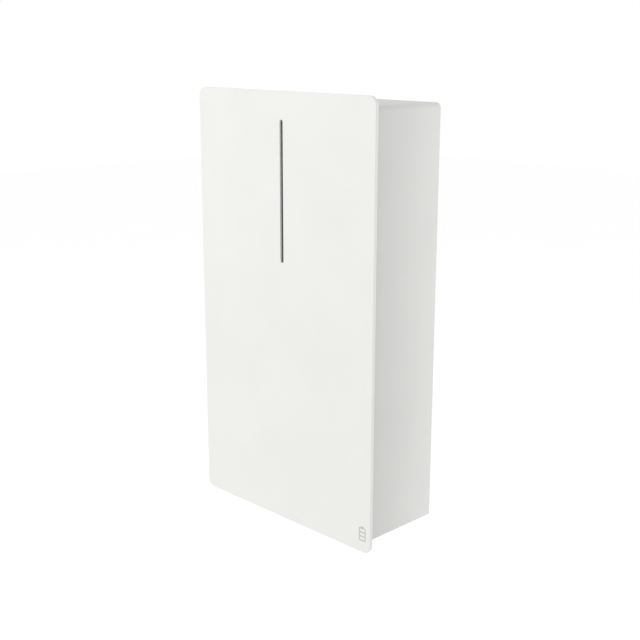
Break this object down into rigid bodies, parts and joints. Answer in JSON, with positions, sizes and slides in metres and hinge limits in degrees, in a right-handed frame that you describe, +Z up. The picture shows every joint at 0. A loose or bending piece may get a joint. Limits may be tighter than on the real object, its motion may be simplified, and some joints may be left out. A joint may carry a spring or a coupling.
{
  "type": "wall battery unit",
  "caption": "Upright wall-hung home battery: a flat rounded push-on cover with a vertical light slot in front of a shallow painted box, cells and electronics inside.",
  "frame": {"origin": "centre of the back face of the wall bracket's middle foot, on the wall", "axes": "+X right seen from the front, +Y towards the wall, +Z up"},
  "size_m": [0.55, 0.206, 0.98],
  "materials": {
    "cover_paint": "moulded cover painted warm white, satin, very fine texture",
    "body_paint": "powder-coated sheet, warm white, satin, fine orange peel",
    "zinc_steel": "galvanised sheet, semi-matt with faint spangle",
    "fastener_steel": "plated steel, semi-gloss",
    "bare_aluminium": "mill-finish aluminium",
    "brass": "bare brass, semi-gloss",
    "black_plastic": "moulded black, matt",
    "grey_plastic": "moulded mid grey, satin",
    "orange_plastic": "moulded orange, satin",
    "foam": "closed-cell foam, matt black",
    "lens": "smoked diffuser, semi-gloss",
    "circuit_board": "green solder mask, satin",
    "cell_case": "aluminium cell cases in blue film",
    "red_jacket": "cable jacket, satin red",
    "black_jacket": "cable jacket, satin black",
    "grey_jacket": "cable jacket, satin grey"
  },
  "bodies": {
    "unit": {"enclosure_shell": "body_paint", "enclosure_floor": "body_paint", "rear_panel": "body_paint", "bay_divider": "body_paint", "front_panel": "zinc_steel", "wall_bracket": "zinc_steel", "gear_plate": "zinc_steel", "hang_hook_lower_left": "zinc_steel", "hang_hook_lower_right": "zinc_steel", "hang_hook_upper_left": "zinc_steel", "hang_hook_upper_right": "zinc_steel", "cover_stud_lower_left": "fastener_steel", "cover_stud_lower_right": "fastener_steel", "cover_stud_upper_left": "fastener_steel", "cover_stud_upper_right": "fastener_steel", "panel_screw_lower_left": "fastener_steel", "panel_screw_lower_right": "fastener_steel", "panel_screw_upper_left": "fastener_steel", "panel_screw_upper_right": "fastener_steel", "lock_bolt_left": "fastener_steel", "lock_bolt_right": "fastener_steel", "pack_tray": "bare_aluminium", "pack_cover": "bare_aluminium", "inverter_carrier": "bare_aluminium", "earth_stud": "brass", "ac_cable_gland": "black_plastic", "comms_cable_gland": "black_plastic", "breather_vent": "black_plastic", "dc_contactor": "black_plastic", "inverter_lower_left": "black_plastic", "inverter_lower_centre": "black_plastic", "inverter_lower_right": "black_plastic", "inverter_upper_left": "black_plastic", "inverter_upper_centre": "black_plastic", "inverter_upper_right": "black_plastic", "ac_terminal_block": "grey_plastic", "dc_switch_body": "grey_plastic", "main_fuse": "grey_plastic", "light_lens": "lens", "led_board": "circuit_board", "control_board": "circuit_board", "management_board": "circuit_board", "cell_stack_lower": "cell_case", "cell_stack_upper": "cell_case", "dc_cable_positive": "red_jacket", "dc_cable_negative": "black_jacket", "comms_cable": "black_jacket", "ac_trunk_cable": "grey_jacket"},
    "cover": {"front_cover": "cover_paint", "emblem": "grey_plastic", "cover_seal": "foam", "cover_clip_lower_left": "black_plastic", "cover_clip_lower_right": "black_plastic", "cover_clip_upper_left": "black_plastic", "cover_clip_upper_right": "black_plastic"},
    "switch_knob": {"dc_switch_knob": "black_plastic"},
    "button": {"pairing_button": "orange_plastic"},
    "lever_left": {"terminal_lever_left": "orange_plastic"},
    "lever_centre": {"terminal_lever_centre": "orange_plastic"},
    "lever_right": {"terminal_lever_right": "orange_plastic"}
  },
  "joints": [
    {"name": "cover_pull", "type": "slide", "parent": "unit", "child": "cover", "axis": [0, -1, 0], "range_m": [0, 0.26]},
    {"name": "dc_switch_turn", "type": "hinge", "parent": "unit", "child": "switch_knob", "pos_m": [0.158, -0.115, -0.372], "axis": [0, 1, 0], "range_deg": [0, 90]},
    {"name": "button_press", "type": "slide", "parent": "unit", "child": "button", "axis": [0, 1, 0], "range_m": [0, 0.001], "stiffness_N_per_m": 300},
    {"name": "lever_left_lift", "type": "hinge", "parent": "unit", "child": "lever_left", "pos_m": [-0.135, -0.1009, -0.358], "axis": [-1, 0, 0], "range_deg": [0, 85]},
    {"name": "lever_centre_lift", "type": "hinge", "parent": "unit", "child": "lever_centre", "pos_m": [-0.105, -0.1009, -0.358], "axis": [-1, 0, 0], "range_deg": [0, 85]},
    {"name": "lever_right_lift", "type": "hinge", "parent": "unit", "child": "lever_right", "pos_m": [-0.075, -0.1009, -0.358], "axis": [-1, 0, 0], "range_deg": [0, 85]}
  ]
}
